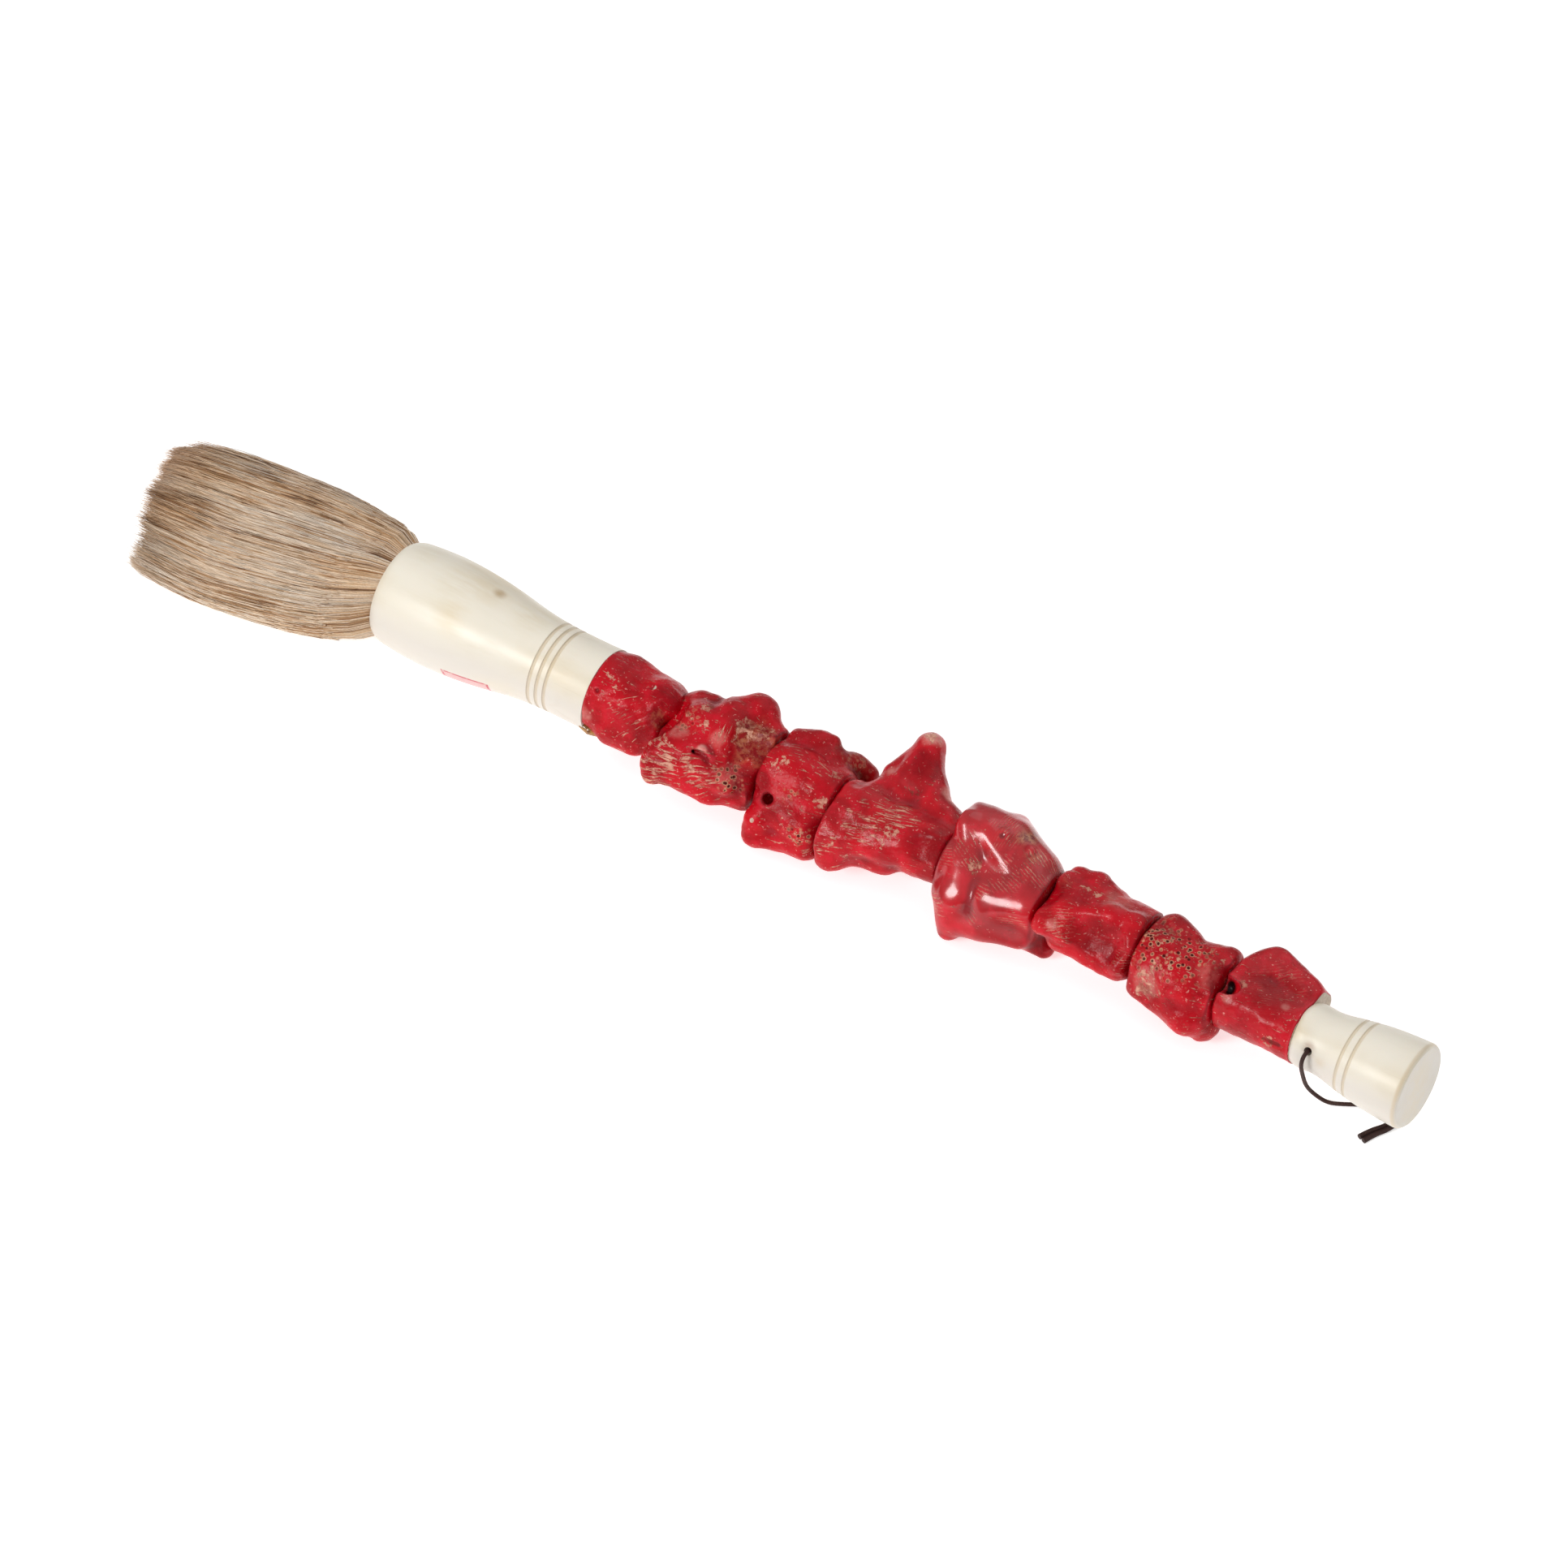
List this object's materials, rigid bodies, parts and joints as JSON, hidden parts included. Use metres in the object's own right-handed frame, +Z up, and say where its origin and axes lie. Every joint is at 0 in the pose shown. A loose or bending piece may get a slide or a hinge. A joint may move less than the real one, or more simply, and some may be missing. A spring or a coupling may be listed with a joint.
{
  "type": "calligraphy brush",
  "caption": "Large calligraphy brush with a blunt hair tuft in a turned bone ferrule, a handle of red vertebra-shaped bone beads and a flared end cap with a hanging cord.",
  "frame": {"origin": "on the table under the middle of the brush's length, at the bottom centre of its box", "axes": "+X along the brush from the hair to the end cap, +Z up from the table that it lies on"},
  "size_m": [0.42, 0.0589, 0.0331],
  "materials": {
    "ivory_bone": "satin",
    "red_bone": "gloss",
    "amber_glue": "gloss",
    "binding_thread": "matte",
    "rod_wood": "satin",
    "outer_hair": "satin",
    "core_hair": "satin",
    "dark_cord": "satin"
  },
  "bodies": {
    "handle": {"ferrule": "ivory_bone", "end_cap": "ivory_bone", "ferrule_adhesive": "amber_glue", "glue_seam": "amber_glue", "cap_adhesive": "amber_glue", "root_resin": "amber_glue", "root_binding": "binding_thread", "handle_rod": "rod_wood", "hair_root_outer": "outer_hair", "hair_root_core": "core_hair", "hanging_cord": "dark_cord", "cord_knot": "dark_cord", "cord_tails": "dark_cord", "vertebra_bead_1": "red_bone", "vertebra_bead_2": "red_bone", "vertebra_bead_3": "red_bone", "vertebra_bead_4": "red_bone", "vertebra_bead_5": "red_bone", "vertebra_bead_6": "red_bone", "vertebra_bead_7": "red_bone", "vertebra_bead_8": "red_bone"},
    "tuft": {"tuft_outer": "outer_hair", "tuft_core": "core_hair"}
  },
  "joints": [
    {"name": "tuft_bend", "type": "hinge", "parent": "handle", "child": "tuft", "pos_m": [-0.128, 0, 0.0165], "axis": [0, 0, 1], "range_deg": [-30, 30], "stiffness_Nm_per_rad": 0.1}
  ]
}
